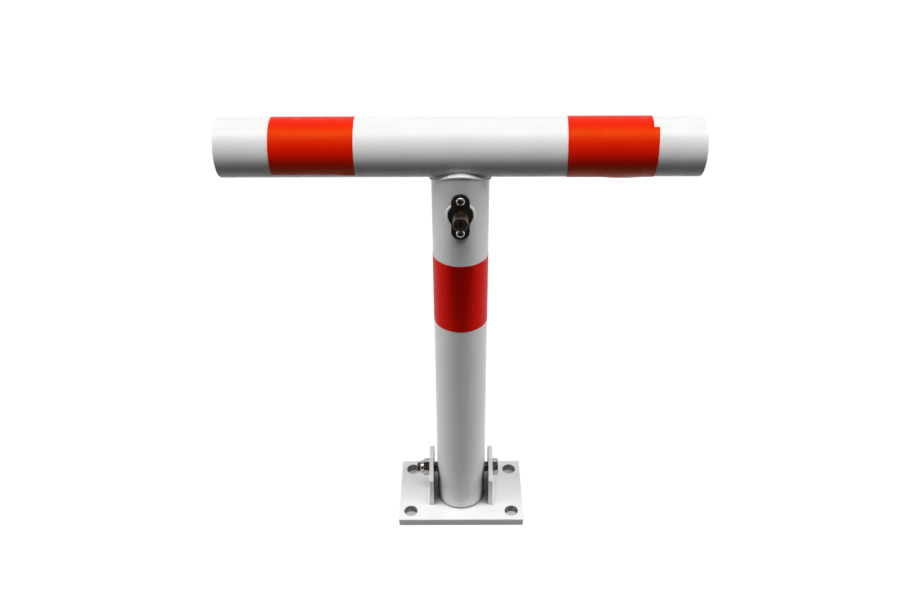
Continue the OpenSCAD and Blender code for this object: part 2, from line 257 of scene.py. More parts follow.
def fillet(points, radii, steps=4):
    """A closed outline with each corner turned into an arc of its own radius."""
    done = []
    for i, corner in enumerate(points):
        before = points[i - 1] - corner
        after = points[(i + 1) % len(points)] - corner
        if radii[i] == 0:
            done.append(corner)
            continue
        half = before.angle(after) / 2
        reach = min(radii[i] / math.tan(half), 0.48 * before.length, 0.48 * after.length)
        radius = reach * math.tan(half)
        before.normalize()
        after.normalize()
        centre = corner + (before + after).normalized() * (radius / math.sin(half))
        start = corner + before * reach - centre
        end = corner + after * reach - centre
        turn = math.atan2(start.x * end.y - start.y * end.x, start.dot(end))
        for k in range(steps + 1):
            c, s = math.cos(turn * k / steps), math.sin(turn * k / steps)
            done.append(centre + Vector((start.x * c - start.y * s, start.x * s + start.y * c)))
    return done


def circle(radius, x=0, y=0, steps=64):
    """Points around a circle, anticlockwise."""
    angles = [2 * math.pi * i / steps for i in range(steps)]
    return [Vector((x + radius * math.cos(a), y + radius * math.sin(a))) for a in angles]


def inset(loop, distance):
    """An anticlockwise outline moved inward, with its corners mitred."""
    moved = []
    for i, point in enumerate(loop):
        before = (point - loop[i - 1]).normalized()
        after = (loop[(i + 1) % len(loop)] - point).normalized()
        inward = Vector((-before.y - after.y, before.x + after.x))
        moved.append(point + inward * (2 * distance / inward.length_squared))
    return moved


def prism(name, outline, holes, height, edge, place, steps=4):
    """An outline with holes, extruded along its own Z, with rounded rims."""
    turns = [math.pi / 2 * k / steps for k in range(steps + 1)]
    rim = [(edge * (1 - math.sin(t)), edge * (1 - math.cos(t))) for t in turns]
    profile = rim + [(back, height - z) for back, z in reversed(rim)]
    shape = bmesh.new()
    caps = [[], []]
    for loop, side in [(outline, 1)] + [(hole, -1) for hole in holes]:
        rings = [[shape.verts.new((p.x, p.y, z)) for p in inset(loop, side * back)] for back, z in profile]
        for lower, upper in zip(rings, rings[1:]):
            for i in range(len(loop)):
                j = (i + 1) % len(loop)
                shape.faces.new((lower[i], lower[j], upper[j], upper[i]))
        for cap, ring in zip(caps, (rings[0], rings[-1])):
            cap += [shape.edges.get((ring[i - 1], ring[i])) for i in range(len(ring))]
    for cap in caps:
        bmesh.ops.triangle_fill(shape, use_beauty=True, edges=cap)
    return from_bmesh(name, shape, place)


def turn_to(axis, origin=Vector((0, 0, 0))):
    """A matrix that lays a piece's own Z along an axis, with its origin at a point."""
    return Matrix.Translation(origin) @ Vector(axis).to_track_quat("Z", "Y").to_matrix().to_4x4()


def wobble(x, y, z, scale, seed=0.0):
    """Smooth noise from -1 to 1 at a point, with features of about 1 / scale."""
    return noise.noise(Vector((x * scale + seed, y * scale - seed, z * scale + 2 * seed)))


def dress(piece, body, slot, material, *nodes):
    """Gives a piece its material and body, and hides the nodes that it stands for."""
    piece.data.materials.clear()
    piece.data.materials.append(material)
    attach(piece, body)
    if nodes:
        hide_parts(*nodes)
    return piece


# Materials

def node(tree, kind, inputs=None, **settings):
    """A shader node: inputs holds values, or sockets to link from."""
    made = tree.nodes.new(kind)
    for key, value in settings.items():
        setattr(made, key, value)
    for key, value in (inputs or {}).items():
        if isinstance(value, bpy.types.NodeSocket):
            tree.links.new(value, made.inputs[key])
        else:
            made.inputs[key].default_value = value
    return made


def new_material(name):
    """A material's empty node tree, its shader and its object coordinates."""
    material = bpy.data.materials.new(name)
    material.use_nodes = True
    tree = material.node_tree
    shader = tree.nodes["Principled BSDF"]
    place = node(tree, "ShaderNodeTexCoord").outputs["Object"]
    return material, tree, shader, place


def noise_value(tree, place, scale, detail=3.0, roughness=0.5, distortion=0.0):
    """A noise texture's value, with features of about 1 / scale metres."""
    inputs = {"Vector": place, "Scale": scale, "Detail": detail}
    inputs |= {"Roughness": roughness, "Distortion": distortion}
    return node(tree, "ShaderNodeTexNoise", inputs).outputs["Fac"]


def span(tree, value, low, high, to_low=0.0, to_high=1.0):
    """A value's range mapped to another, smoothly and clamped."""
    inputs = {"Value": value, "From Min": low, "From Max": high, "To Min": to_low, "To Max": to_high}
    made = node(tree, "ShaderNodeMapRange", inputs, interpolation_type="SMOOTHSTEP")
    return made.outputs["Result"]


def blend_colour(tree, factor, first, second):
    """A mix of two colours, each a triple or a socket."""
    made = node(tree, "ShaderNodeMix", {"Factor": factor}, data_type="RGBA")
    for socket, colour in (("A", first), ("B", second)):
        target = next(s for s in made.inputs if s.name == socket and s.type == "RGBA")
        if isinstance(colour, bpy.types.NodeSocket):
            tree.links.new(colour, target)
        else:
            target.default_value = (*colour, 1.0)
    return next(s for s in made.outputs if s.type == "RGBA")


def stretched(tree, place, x, y, z):
    """Coordinates scaled along each axis, for grain that runs one way."""
    made = node(tree, "ShaderNodeMapping", {"Vector": place, "Scale": (x, y, z)})
    return made.outputs["Vector"]


def bump(tree, shader, layers):
    """Stacks bump layers of (height, strength, distance) onto a shader's normal."""
    normal = None
    for height, strength, distance in layers:
        inputs = {"Height": height, "Strength": strength, "Distance": distance}
        if normal:
            inputs["Normal"] = normal
        normal = node(tree, "ShaderNodeBump", inputs).outputs["Normal"]
    tree.links.new(normal, shader.inputs["Normal"])


def white_paint(name, dirt, painted_corner_shade=0.92):
    """Gloss white powder coat: faint orange peel, uneven gloss, smudges, specks, and painted shade that
    darkens corners and gaps between parts.
    """
    material, tree, shader, place = new_material(name)
    cloud = noise_value(tree, place, 22, 4, 0.6, 0.4)
    tone = blend_colour(tree, span(tree, cloud, 0.35, 0.75), (0.90, 0.90, 0.895), (0.86, 0.86, 0.85))
    smudge = noise_value(tree, stretched(tree, place, 1, 1.6, 0.7), 55, 6, 0.7, 1.2)
    tone = blend_colour(tree, span(tree, smudge, 0.60, 0.80, 0, dirt), tone, (0.55, 0.54, 0.51))
    speck = noise_value(tree, place, 900, 2, 0.5)
    tone = blend_colour(tree, span(tree, speck, 0.74, 0.80, 0, dirt), tone, (0.25, 0.23, 0.20))
    # Painted shade: the colour goes near black where ambient occlusion finds the surface closed in, in
    # corners, creases and gaps between parts.
    open_sky = node(tree, "ShaderNodeAmbientOcclusion", {"Distance": 18 * MM}, samples=8).outputs["AO"]
    tone = blend_colour(tree, span(tree, open_sky, 0.15, 0.70, painted_corner_shade, 0), tone, (0.06, 0.055, 0.05))
    tree.links.new(tone, shader.inputs["Base Color"])
    gloss = noise_value(tree, place, 60, 3, 0.6)
    tree.links.new(span(tree, gloss, 0.3, 0.7, 0.28, 0.40), shader.inputs["Roughness"])
    shader.inputs["Specular IOR Level"].default_value = 0.3
    peel = noise_value(tree, place, 420, 2, 0.4)
    grain = noise_value(tree, place, 1700, 1, 0.5)
    bump(tree, shader, [(peel, 0.20, 0.05 * MM), (grain, 0.10, 0.02 * MM)])
    return material


def red_tape(name, flow, shade, metallic, gloss_level, gloss_tint, roughness):
    """Reflective red film: glass-bead grain with faint painted glints, faint stretch lines and small trapped
    bubbles; a shade below 1 darkens its colour as painted shade.
    """
    material, tree, shader, place = new_material(name)
    lines = noise_value(tree, stretched(tree, place, *flow), 60, 4, 0.6, 0.3)
    # Painted shade: shade scales the film's colour down, so the post's tape is a darker copy of the
    # crossbar's.
    first = (0.86 * shade, 0.007 * shade, 0.001)
    second = (0.80 * shade, 0.004 * shade, 0.001)
    tone = blend_colour(tree, span(tree, lines, 0.3, 0.7), first, second)
    beads = noise_value(tree, place, 2600, 1, 0.5)
    # Painted glint: the bead specks are a touch brighter and more orange in the colour.
    painted_glint = (0.88 * shade, 0.014 * shade, 0.002)
    tone = blend_colour(tree, span(tree, beads, 0.3, 0.7, 0, 0.25), tone, painted_glint)
    tree.links.new(tone, shader.inputs["Base Color"])
    gloss = noise_value(tree, place, 90, 3, 0.6)
    low, high = roughness
    tree.links.new(span(tree, gloss, 0.3, 0.7, low, high), shader.inputs["Roughness"])
    shader.inputs["Metallic"].default_value = metallic
    shader.inputs["Specular IOR Level"].default_value = gloss_level
    shader.inputs["Specular Tint"].default_value = (*gloss_tint, 1)
    bubbles = node(tree, "ShaderNodeTexVoronoi", {"Vector": place, "Scale": 110.0}).outputs["Distance"]
    blister = span(tree, bubbles, 0.0, 0.12, 1, 0)
    bump(tree, shader, [(beads, 0.10, 0.02 * MM), (lines, 0.25, 0.12 * MM), (blister, 0.03, 0.05 * MM)])
    return material


def coat(material, weight, roughness):
    """Adds a clear coat over a material."""
    inputs = material.node_tree.nodes["Principled BSDF"].inputs
    inputs["Coat Weight"].default_value = weight
    inputs["Coat Roughness"].default_value = roughness


def metal(name, bright, dark, roughness, scale=160, grain=0.1, metallic=1.0, flow=(1, 1, 1)):
    """Plated or bare metal: mottled between two tones, with uneven gloss and fine grain."""
    material, tree, shader, place = new_material(name)
    mottle = noise_value(tree, place, scale, 5, 0.65, 0.5)
    tone = blend_colour(tree, span(tree, mottle, 0.36, 0.64), bright, dark)
    tree.links.new(tone, shader.inputs["Base Color"])
    shader.inputs["Metallic"].default_value = metallic
    gloss = noise_value(tree, place, scale * 2.5, 3, 0.6)
    low, high = roughness
    tree.links.new(span(tree, gloss, 0.3, 0.7, low, high), shader.inputs["Roughness"])
    fine = noise_value(tree, stretched(tree, place, *flow), 1500, 2, 0.5)
    bump(tree, shader, [(mottle, grain, 0.15 * MM), (fine, grain, 0.03 * MM)])
    return material


BAR_PAINT = white_paint("white_paint_bar", 0.05)
POST_PAINT = white_paint("white_paint_post", 0.12)
PLATE_PAINT = white_paint("white_paint_plate", 0.45)
# The last value, where given, sets how strong the painted shade in corners is.
BEAD_PAINT = white_paint("white_paint_bead", 0.12, 0.40)
RIM_PAINT = white_paint("white_paint_rim", 0.05, 0.10)
BAR_TAPE = red_tape("red_tape_bar", (0.15, 1, 1), 1.0, 0.0, 0.30, (1.0, 0.85, 0.02), (0.40, 0.52))
# The post's tape is the same film with its colour scaled to 0.72, as painted shade.
POST_TAPE = red_tape("red_tape_post", (1, 1, 0.15), 0.72, 0.38, 0.12, (1.0, 0.12, 0.03), (0.26, 0.36))
HEAD_STEEL = metal("bolt_steel", (0.58, 0.57, 0.55), (0.20, 0.19, 0.18), (0.09, 0.20), 420, 0.25)
# Near-black steel for all of the bolt but its head: painted shade on the shank between the ears and a painted
# dark reflection on the threaded end beyond the nut.
SHANK_STEEL_PAINTED_SHADE = metal("shank_steel_painted_shade", (0.10, 0.094, 0.088), (0.035, 0.031, 0.028), (0.30, 0.50), 300, 0.3)
NUT_STEEL = metal("nut_steel", (0.56, 0.52, 0.505), (0.28, 0.245, 0.23), (0.06, 0.13), 300, 0.12)
# A darker grey for the walls of the plate's anchor holes.
HOLE_WALL = metal("hole_wall", (0.36, 0.355, 0.345), (0.12, 0.11, 0.10), (0.5, 0.7), 240, 0.5, 0.0)
NYLON = metal("nylon", (0.50, 0.58, 0.70), (0.44, 0.52, 0.64), (0.40, 0.55), 200, 0.1, 0.0)
BARE_STEEL = metal(
    "bare_steel", (0.42, 0.42, 0.43), (0.24, 0.23, 0.22), (0.28, 0.45), 60, 0.25, 1.0, (1, 1, 0.05)
)
LOCK_BLACK = metal("lock_black", (0.035, 0.030, 0.026), (0.016, 0.013, 0.011), (0.22, 0.38), 260, 0.15, 0.25)
coat(LOCK_BLACK, 0.8, 0.04)
BRONZE = metal(
    "plunger_bronze", (0.15, 0.086, 0.056), (0.075, 0.042, 0.028), (0.25, 0.42), 300, 0.2, 0.85, (1, 0.1, 1)
)
CORE_DARK = metal("core_dark", (0.050, 0.030, 0.022), (0.022, 0.014, 0.011), (0.30, 0.50), 350, 0.25, 0.4)
NICKEL = metal("screw_nickel", (0.40, 0.385, 0.36), (0.18, 0.17, 0.16), (0.12, 0.24), 240, 0.1)
PIN_STEEL = metal("pin_steel", (0.64, 0.64, 0.65), (0.50, 0.50, 0.51), (0.16, 0.28), 200, 0.1)
BRASS = metal("brass", (0.74, 0.56, 0.26), (0.60, 0.43, 0.18), (0.22, 0.36), 200, 0.15)


# Base plate and ears

def plate():
    """Base plate with rounded rims and four anchor holes, whose walls take a darker grey."""
    half_x = PLATE_HIGH.x
    half_y = PLATE_HIGH.y
    corners = [Vector((x * half_x, y * half_y)) for x, y in ((-1, -1), (1, -1), (1, 1), (-1, 1))]
    outline = fillet(corners, [PLATE_CORNER] * 4, 8)
    radius = ANCHORS["hole_r_mm"] * MM
    step_x = ANCHORS["spacing_x_mm"] * MM / 2
    step_y = ANCHORS["spacing_y_mm"] * MM / 2
    holes = [circle(radius, x * step_x, y * step_y) for x in (-1, 1) for y in (-1, 1)]
    height = PLATE_HIGH.z - PLATE_LOW.z
    piece = prism("plate_painted", outline, holes, height, PLATE_EDGE, Matrix.Identity(4))
    dress(smooth(piece, weighted=True), "base", "white_paint", PLATE_PAINT, "base_plate")
    piece.data.materials.append(HOLE_WALL)
    for face in piece.data.polygons:
        spot = face.center
        away = math.hypot(abs(spot.x) - step_x, abs(spot.y) - step_y)
        if away < radius + 0.1 * MM and abs(face.normal.z) < 0.5:
            face.material_index = 1


def ear(side):
    """A hinge ear with cut corners and its bolt hole."""
    low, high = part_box(f"{side}_ear")
    corners = [
        Vector((low.y, low.z)), Vector((high.y, low.z)), Vector((high.y, high.z - EAR_CHAMFER)),
        Vector((high.y - EAR_CHAMFER, high.z)), Vector((low.y + EAR_CHAMFER, high.z)),
        Vector((low.y, high.z - EAR_CHAMFER)),
    ]
    outline = fillet(corners, [EAR_EDGE] * 2 + [EAR_CORNER] * 4, 5)
    hole = circle(EAR_HOLE_R, HINGE.y, HINGE.z)
    lay = Matrix(((0, 0, 1, low.x), (1, 0, 0, 0), (0, 1, 0, 0), (0, 0, 0, 1)))
    piece = prism(f"{side}_ear_painted", outline, [hole], high.x - low.x, EAR_EDGE, lay)
    dress(smooth(piece, weighted=True), "base", "white_paint", PLATE_PAINT, f"{side}_ear")


def ear_weld(side, sign):
    """A rippled weld along an ear's outer foot, thinner at its two ends."""
    low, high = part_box(f"{side}_ear_weld")
    leg = high.x - low.x
    foot = PLATE_HIGH.z
    sections = []
    count, waves = 120, 22
    for i in range(count + 1):
        t = i / count
        y = low.y + (high.y - low.y) * t
        taper = min(1, math.sqrt(max(0, 12 * min(t, 1 - t))))
        ripple = 0.10 * math.sin(2 * math.pi * waves * t + 2 * wobble(0, y, 0, 60))
        ripple += 0.16 * wobble(sign, y, 0, 180)
        size = leg * (0.30 + 0.62 * taper) * (1 + 0.45 * ripple)
        loop = []
        for k in range(11):
            angle = math.pi / 2 * k / 10
            reach = size * (0.80 + 0.10 * math.sin(2 * angle))
            loop.append((sign * (EAR_OUTER + reach * math.cos(angle)), y, foot + reach * math.sin(angle)))
        loop.append((sign * (EAR_OUTER - WELD_ROOT), y, foot + size * 0.5))
        loop.append((sign * (EAR_OUTER - WELD_ROOT), y, foot - WELD_ROOT))
        loop.append((sign * (EAR_OUTER + size * 0.5), y, foot - WELD_ROOT))
        sections.append(loop)
    piece = closed_grid(f"{side}_ear_weld_bead", sections, ends_meet=False)
    dress(smooth(piece, 60), "base", "white_paint", PLATE_PAINT, f"{side}_ear_weld")


# Hinge bolt and nut

def chamfered(angle, face):
    """How far below the end face a hexagon's side starts, and its distance from the axis there."""
    radius = HEX_FLATS / 2 / math.cos((angle + math.pi / 6) % (math.pi / 3) - math.pi / 6)
    return (radius - face) * HEX_SLOPE, radius


def thread_radius(height, angle):
    """Radius of the bolt's thread at a height and an angle."""
    phase = (height / THREAD_PITCH - angle / (2 * math.pi)) % 1
    return BOLT_R - THREAD_DEPTH * abs(2 * phase - 1) ** 1.3


def bolt():
    """Hexagon-head bolt along X, its threaded end on the left; all but its head takes a near-black steel, as
    painted shade on the shank and a painted dark reflection on the threaded end.
    """
    length = HEAD_END - BOLT_TIP
    under = EAR_OUTER - BOLT_TIP
    shank = BOLT_R - 0.05 * MM
    face = HEX_FLATS / 2 - 0.4 * MM
    rows = 64

    def section(angle):
        points = [(0, 0)]
        for i in range(rows + 1):
            h = THREAD_END * i / rows
            points.append((h, min(thread_radius(h, angle), BOLT_R - 1.4 * MM + h)))
        drop, radius = chamfered(angle + HEAD_TURN, face)
        points += [(THREAD_END + 0.4 * MM, shank), (under, shank), (under, radius)]
        points += [(length - drop - 0.25 * MM, radius), (length - drop, radius - 0.08 * MM)]
        points += [(length - 0.12 * MM, face), (length, face - 0.3 * MM), (length, 0)]
        return points

    piece = spin("bolt_plated", section, turn_to((1, 0, 0), Vector((BOLT_TIP, HINGE.y, HINGE.z))))
    dress(smooth(piece, 24), "base", "bolt_steel", HEAD_STEEL, "hinge_bolt")
    piece.data.materials.append(SHANK_STEEL_PAINTED_SHADE)
    for face in piece.data.polygons:
        if face.center.x < EAR_OUTER:
            face.material_index = 1


def nut():
    """Lock nut with a tapered round collar, open at its end."""
    height = -NUT_LOW - EAR_OUTER
    collar = HEX_FLATS / 2 - 0.6 * MM
    mouth = BOLT_R + 0.1 * MM
    face = HEX_FLATS / 2 - 0.35 * MM

    def section(angle):
        drop, radius = chamfered(angle + NUT_TURN, face)
        return [
            (0, mouth), (0, face), (drop, radius), (NUT_HEX - drop, radius), (NUT_HEX, face),
            (NUT_HEX + 0.15 * MM, collar), (height - 2.2 * MM, collar - 0.4 * MM),
            (height - 0.9 * MM, collar - 0.9 * MM), (height - 0.3 * MM, collar - 1.6 * MM),
            (height, collar - 2.2 * MM), (height - 0.2 * MM, mouth + 0.25 * MM), (height - 0.8 * MM, mouth),
        ]

    piece = spin("nut_plated", section, turn_to((-1, 0, 0), Vector((-EAR_OUTER, HINGE.y, HINGE.z))))
    dress(smooth(piece, 24), "base", "nut_steel", NUT_STEEL, "hinge_nut")


# Post, crossbar and their weld

def post():
    """Upright tube: round foot rims, saddle-cut top, slots for the bolt and the lock's hole."""
    steps, rows = 192, 48
    foot = POST_LOW.z
    above = foot + 10 * MM
    rim = [Vector(p) for p in ((BORE_R, foot), (TUBE_R, foot), (TUBE_R, above), (BORE_R, above))]
    rim = fillet(rim, [TUBE_EDGE, TUBE_EDGE, 0, 0])[:10]
    sections = []
    for i in range(steps):
        angle = 2 * math.pi * i / steps
        wall = [(r, z) for r, z in rim]
        start = foot + TUBE_EDGE
        top = SADDLE_LOW + SADDLE_RISE * math.sin(angle) ** 2 - SADDLE_GAP
        for radius, order in ((TUBE_R, range(1, rows + 1)), (BORE_R, range(rows, 0, -1))):
            wall += [(radius, start + (top - start) * k / rows) for k in order]
        sections.append([(r * math.cos(angle), AXIS_Y + r * math.sin(angle), z) for r, z in wall])
    piece = closed_grid("post_painted", sections)
    low = HINGE.z - LIFT - SLOT_HALF
    high = HINGE.z + SLOT_HALF
    corners = [
        Vector((-SLOT_HALF, low)), Vector((SLOT_HALF, low)),
        Vector((SLOT_HALF, high)), Vector((-SLOT_HALF, high)),
    ]
    outline = [p + Vector((HINGE.y, 0)) for p in fillet(corners, [0.999 * SLOT_HALF] * 4, 12)]
    lay = Matrix(((0, 0, 1, -2 * TUBE_R), (1, 0, 0, 0), (0, 1, 0, 0), (0, 0, 0, 1)))
    cut(piece, prism("slot_cutter", outline, [], 4 * TUBE_R, 0.1 * MM, lay))
    hole = [(-TUBE_R, 0), (-TUBE_R, LOCK_HOLE_R), (TUBE_R, LOCK_HOLE_R), (TUBE_R, 0)]
    place = turn_to((0, 1, 0), Vector((0, AXIS_Y - 1.3 * TUBE_R, LOCK.z)))
    cut(piece, turned("hole_cutter", hole, place))
    smooth(piece, 40)
    tube_normals(piece, Vector((0, AXIS_Y, 0)), Vector((0, 0, 1)))
    dress(piece, "post", "white_paint", POST_PAINT, "post_tube")


def lock_hole_rim():
    """Painted lip around the lock's hole: a ridge on the post's curve that dips towards the barrel.

    Its profile is in millimetres: distance from the lock's axis, and height over the post.
    """
    profile = [
        (14.9, -0.05), (14.5, 0.30), (14.0, 0.62), (13.4, 0.80), (12.9, 0.78), (12.5, 0.55),
        (12.3, 0.15), (12.2, -0.50), (12.15, -1.20), (12.15, -1.90), (12.15, -2.60), (14.9, -1.20),
    ]
    steps = 96
    sections = []
    for i in range(steps):
        angle = 2 * math.pi * i / steps
        uneven = 1 + 0.25 * wobble(math.cos(angle), math.sin(angle), 0, 2.5, 9.0)
        loop = []
        for radius, rise in profile:
            x = radius * MM * math.cos(angle)
            z = radius * MM * math.sin(angle)
            shell = TUBE_R + max(rise, rise * uneven) * MM
            loop.append((x, AXIS_Y - math.sqrt(shell ** 2 - x * x), LOCK.z + z))
        sections.append(loop)
    piece = closed_grid("lock_hole_rim", sections)
    dress(smooth(piece, 50), "post", "white_paint", RIM_PAINT)


def crossbar():
    """Horizontal tube with rounded ends."""
    half = BAR_HIGH.x
    profile = [(-half, BORE_R), (-half, TUBE_R), (half, TUBE_R), (half, BORE_R)]
    piece = turned("crossbar_painted", profile, turn_to((1, 0, 0), Vector((0, AXIS_Y, BAR_Z))), BAR_EDGE, 192)
    smooth(piece, 40, weighted=True)
    dress(piece, "post", "white_paint", BAR_PAINT, "crossbar")


def end_cap(side, sign):
    """Disc in the end of the crossbar, with the weld ring around it ground low."""
    low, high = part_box(f"{side}_end_cap")
    depth = high.x - low.x
    face = depth - 0.7 * MM
    seam = BORE_R - 2.2 * MM

    def section(angle):
        lump = 0.18 * MM * wobble(math.cos(angle), math.sin(angle), sign, 9)
        return [
            (0, 0), (0, BORE_R), (depth - 0.6 * MM, BORE_R + 1.2 * MM),
            (depth - 0.35 * MM + lump, BORE_R + 0.5 * MM), (depth - 0.3 * MM + lump, BORE_R - 0.4 * MM),
            (face + 0.25 * MM + lump, BORE_R - 1.4 * MM), (face, seam), (face, 0),
        ]

    start = high.x if sign < 0 else low.x
    piece = spin(f"{side}_cap_painted", section, turn_to((sign, 0, 0), Vector((start, AXIS_Y, BAR_Z))), 192)
    dress(smooth(piece, 50), "post", "white_paint", BAR_PAINT, f"{side}_end_cap")


def junction_weld():
    """Uneven weld bead between the post's saddle and the crossbar, all round.

    Its upper toe lies on the crossbar, a ledge leads out to its round crest, and its lower toe ends
    on the post.
    """
    steps, rows = 360, 8
    sections = []
    for i in range(steps):
        angle = 2 * math.pi * i / steps
        c, s = math.cos(angle), math.sin(angle)
        side = abs(c) ** 3
        edge_z = SADDLE_LOW + SADDLE_RISE * s * s
        drop = BAR_Z - edge_z - 0.9 * MM - 0.4 * MM * wobble(c, s, 0, 2.5, 4.0)
        reach = math.sqrt(max(0, TUBE_R ** 2 - drop ** 2)) / max(abs(s), 1e-6)
        upper_r = min(TUBE_R + 0.6 * MM + 0.9 * MM * side, reach)
        upper_z = BAR_Z - math.sqrt(max(0, TUBE_R ** 2 - (upper_r * s) ** 2))
        ripple = 0.16 * MM * math.sin(34 * angle + 4 * wobble(c, s, 2, 3))
        ripple += 0.35 * MM * wobble(c, s, 1, 4, 2.0)
        crest_r = TUBE_R + 0.9 * MM + 1.2 * MM * side + ripple
        crest_z = edge_z - 0.2 * MM - 1.0 * MM * side + 0.5 * ripple
        lower_z = crest_z - 2.4 * MM - 3.0 * MM * s * s + 2 * ripple
        bend = 1.2 * MM + 0.3 * MM * s * s
        loop = []
        for k in range(rows):
            bulge = (1 - math.cos(math.pi * k / rows)) / 2
            loop.append((TUBE_R - 0.1 * MM + (crest_r - TUBE_R) * bulge,
                         lower_z + (crest_z - bend - lower_z) * k / rows))
        for k in range(rows + 1):
            turn = math.pi / 2 * k / rows
            loop.append((crest_r - bend * (1 - math.cos(turn)), crest_z - bend * (1 - math.sin(turn))))
        for k in range(1, rows + 1):
            t = k / rows
            loop.append((crest_r - bend + (upper_r - crest_r + bend) * t,
                         crest_z + (upper_z - crest_z) * t - 0.25 * MM * math.sin(math.pi * t)))
        loop.append((upper_r - 2.0 * MM, upper_z + 1.0 * MM))
        loop.append((TUBE_R - 0.9 * MM, lower_z + 0.5 * MM))
        sections.append([(r * c, AXIS_Y + r * s, z) for r, z in loop])
    piece = closed_grid("junction_weld_bead", sections)
    dress(smooth(piece, 70), "post", "white_paint", BEAD_PAINT, "junction_weld")


# Tapes

def tape(name, place, left, right, start, sweep, overlap, node_name, material, sag=None):
    """Film wound around a tube's own Z axis: left and right give its edges at a share of the turn.

    The last stretch of the sweep, overlap degrees long, lies on the first.
    """
    steps, columns = 288, 28
    sections = []
    for i in range(steps + 1):
        t = i / steps
        angle = math.radians(start + sweep * t)
        rise = 0
        if overlap:
            past = (sweep * t - (sweep - overlap) + 3) / 3
            share = min(1, max(0, past))
            rise = (TAPE_T + 0.01 * MM) * share * share * (3 - 2 * share)
        outer, inner = [], []
        for k in range(columns + 1):
            x = left(t) + (right(t) - left(t)) * k / columns
            crinkle = 0.018 * MM * (1 + wobble(math.cos(angle), math.sin(angle), x * 30, 3))
            lift = rise + (sag(x, t) if sag else 0)
            for radius, side in ((TUBE_R + TAPE_GLUE + TAPE_T + crinkle, outer), (TUBE_R + TAPE_GLUE, inner)):
                r = radius + lift
                side.append(place @ Vector((r * math.cos(angle), r * math.sin(angle), x)))
        sections.append(outer + inner[::-1])
    piece = closed_grid(name, sections, ends_meet=False)
    dress(smooth(piece, 50), "post", "red_tape", material, node_name)


def bar_frame(sign):
    """Lays a tape's own Z along the crossbar; its angle runs from the front (0) up over the top (90)."""
    columns = (Vector((0, -1, 0)), Vector((0, 0, 1)), Vector((sign, 0, 0)))
    turn = Matrix(columns).transposed().to_4x4()
    return Matrix.Translation(Vector((0, AXIS_Y, BAR_Z))) @ turn


def left_tape():
    """Left crossbar tape: its lower front edge stops short and has a small wrinkle."""
    low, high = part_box("left_bar_tape")
    inner, outer = -high.x, -low.x
    start, sweep = -39, 322

    def left(t):
        return inner + TAPE_WAVE * wobble(t, 0, 0, 6, 1.0)

    def right(t):
        return outer - 1.9 * MM + TAPE_WAVE * wobble(t, 1, 0, 6, 2.0)

    def sag(x, t):
        near_edge = math.exp(-(t * sweep / 9) ** 2)
        corner = math.exp(-((x - inner - 6 * MM) / (9 * MM)) ** 2)
        return 0.9 * MM * near_edge * corner

    tape("left_tape_film", bar_frame(-1), left, right, start, sweep, 0, "left_bar_tape", BAR_TAPE, sag)


def right_tape():
    """Right crossbar tape: its two ends overlap at the upper front, one edge past the other."""
    low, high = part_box("right_bar_tape")
    start, sweep = 62, -360 - TAPE_OVERLAP

    def slant(t):
        return 2.0 * MM * (1 - math.cos(math.radians(start + sweep * t - 25)))

    def left(t):
        return low.x + slant(t) + 0.4 * MM + TAPE_WAVE * wobble(t, 2, 0, 6, 3.0)

    def right(t):
        step = 5.2 * MM * (1 - min(1, t * 1.25))
        return high.x + slant(t) - 0.9 * MM + step + 0.3 * MM * wobble(t, 3, 0, 6, 4.0)

    def sag(x, t):
        angle = start + sweep * t
        under = math.exp(-((angle + 78) / 16) ** 2)
        stretch = math.exp(-((x - 155 * MM) / (16 * MM)) ** 4)
        return 1.3 * MM * under * stretch

    place = bar_frame(1)
    tape("right_tape_film", place, left, right, start, sweep, TAPE_OVERLAP, "right_bar_tape", BAR_TAPE, sag)


def post_tape():
    """Tape around the post, its ends overlapping at the back."""
    low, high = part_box("post_tape")

    def left(t):
        return low.z + 0.3 * MM * wobble(t, 4, 0, 6, 5.0)

    def right(t):
        return high.z + 0.3 * MM * wobble(t, 5, 0, 6, 6.0)

    place = Matrix.Translation(Vector((0, AXIS_Y, 0)))
    start, sweep = 70, 360 + TAPE_OVERLAP
    tape("post_tape_film", place, left, right, start, sweep, TAPE_OVERLAP, "post_tape", POST_TAPE)


# Lock

def polished(node_name, body, slot, material, edge=0.25 * MM, angle=35):
    """A copy of a node's mesh with its sharp edges rounded, which stands for the node."""
    mesh = frame["nodes"][node_name].data.copy()
    shape = bmesh.new()
    shape.from_mesh(mesh)
    bmesh.ops.remove_doubles(shape, verts=shape.verts, dist=1e-6)
    bmesh.ops.dissolve_limit(shape, angle_limit=math.radians(1), verts=shape.verts, edges=shape.edges)
    shape.to_mesh(mesh)
    shape.free()
    piece = link(f"{node_name}_finished", mesh)
    if edge:
        step = piece.modifiers.new("edges", "BEVEL")
        step.width = edge
        step.segments = 3
        step.limit_method = "ANGLE"
        step.angle_limit = math.radians(angle)
        bake(piece)
    return dress(smooth(piece, angle, weighted=True), body, slot, material, node_name)


def darken_face(piece, plane_y, material):
    """Gives the faces of a piece that lie before a plane across Y a second material."""
    piece.data.materials.append(material)
    for face in piece.data.polygons:
        if face.center.y < plane_y:
            face.material_index = 1


def squeeze_spring(piece):
    """Gives the spring its own copy of its mesh, which keeps its length at rest."""
    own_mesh(piece)


